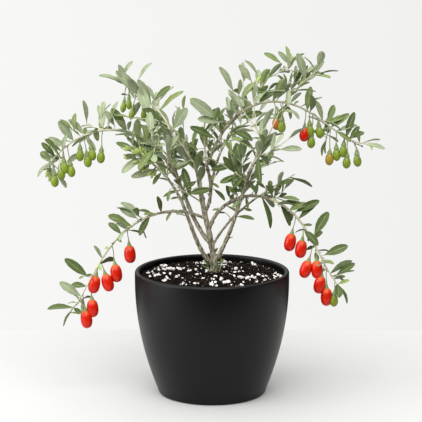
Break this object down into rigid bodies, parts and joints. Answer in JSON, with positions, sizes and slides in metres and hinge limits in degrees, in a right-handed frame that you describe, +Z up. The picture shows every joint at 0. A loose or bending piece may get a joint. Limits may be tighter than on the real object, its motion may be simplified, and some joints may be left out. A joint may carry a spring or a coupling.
{
  "type": "potted goji berry bush",
  "caption": "Small arching fruit shrub with oval leaves and hanging oval berries, in a plain round pot filled with potting mix.",
  "frame": {"origin": "centre of the pot's flat underside", "axes": "+Z up; the front of the plant, as pictured, faces -Y; +X is to the right seen from the front"},
  "size_m": [0.338, 0.1923, 0.3357],
  "materials": {
    "pot_ceramic": "matte",
    "potting_mix": "matte",
    "bark": "matte",
    "foliage": "matte"
  },
  "bodies": {
    "root": {"pot": "pot_ceramic", "potting_mix": "potting_mix", "trunk": "bark", "bough_left_outer": "bark", "bough_upper_left": "bark", "bough_lower_left": "bark", "bough_lower_right": "bark", "bough_right_outer": "bark", "bough_right_thin": "bark", "bough_middle": "bark", "bough_upper_right": "bark", "bough_top_left": "bark", "bough_front_left": "bark", "bough_front_right": "bark", "bough_back_left": "bark", "bough_back_right": "bark", "foliage_left_outer": "foliage", "foliage_upper_left": "foliage", "foliage_lower_left": "foliage", "foliage_lower_right": "foliage", "foliage_right_thin": "foliage", "foliage_upper_right": "foliage", "foliage_top_left": "foliage", "foliage_top_right": "foliage", "foliage_right_heart": "foliage", "foliage_crown_left": "foliage", "foliage_crown_low": "foliage", "foliage_heart_low": "foliage", "foliage_crown_mid": "foliage", "foliage_front_left": "foliage", "foliage_front_right": "foliage", "foliage_back_left": "foliage", "foliage_back_right": "foliage"}
  },
  "joints": []
}
